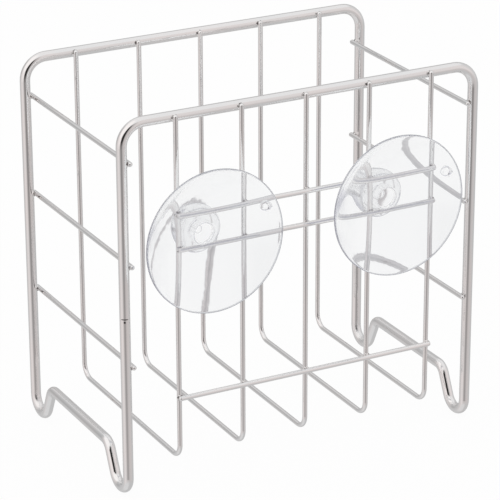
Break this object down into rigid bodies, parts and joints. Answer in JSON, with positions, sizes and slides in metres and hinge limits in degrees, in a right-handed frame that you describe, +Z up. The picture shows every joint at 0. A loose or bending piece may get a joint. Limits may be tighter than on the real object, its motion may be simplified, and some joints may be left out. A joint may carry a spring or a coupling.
{
  "type": "sponge holder",
  "caption": "Open welded wire caddy for a kitchen sponge, on raised wire feet, with clear suction cups that slide along rails on its front.",
  "frame": {"origin": "on the floor that the feet stand on, under the middle of the whole object's box", "axes": "+X to the right seen from the side of the suction cups, -Y towards the wall that the cups hold on to, +Z up"},
  "size_m": [0.152, 0.1048, 0.1503],
  "materials": {
    "steel_wire": "bright polished stainless steel",
    "clear_pvc": "clear, glossy, soft"
  },
  "bodies": {
    "rack": {"frame_loop": "steel_wire", "basket_wire_1": "steel_wire", "basket_wire_2": "steel_wire", "basket_wire_3": "steel_wire", "basket_wire_4": "steel_wire", "basket_wire_5": "steel_wire", "side_wire_left_upper": "steel_wire", "side_wire_left_middle": "steel_wire", "side_wire_left_lower": "steel_wire", "side_wire_right_upper": "steel_wire", "side_wire_right_middle": "steel_wire", "side_wire_right_lower": "steel_wire", "cup_rail_upper": "steel_wire", "cup_rail_lower": "steel_wire", "front_tie_wire": "steel_wire"},
    "left_cup": {"suction_cup_left": "clear_pvc"},
    "right_cup": {"suction_cup_right": "clear_pvc"}
  },
  "joints": [
    {"name": "left_cup_slide", "type": "slide", "parent": "rack", "child": "left_cup", "axis": [1, 0, 0], "range_m": [-0.00375, 0.01255]},
    {"name": "right_cup_slide", "type": "slide", "parent": "rack", "child": "right_cup", "axis": [1, 0, 0], "range_m": [-0.0005, 0.0158]}
  ]
}
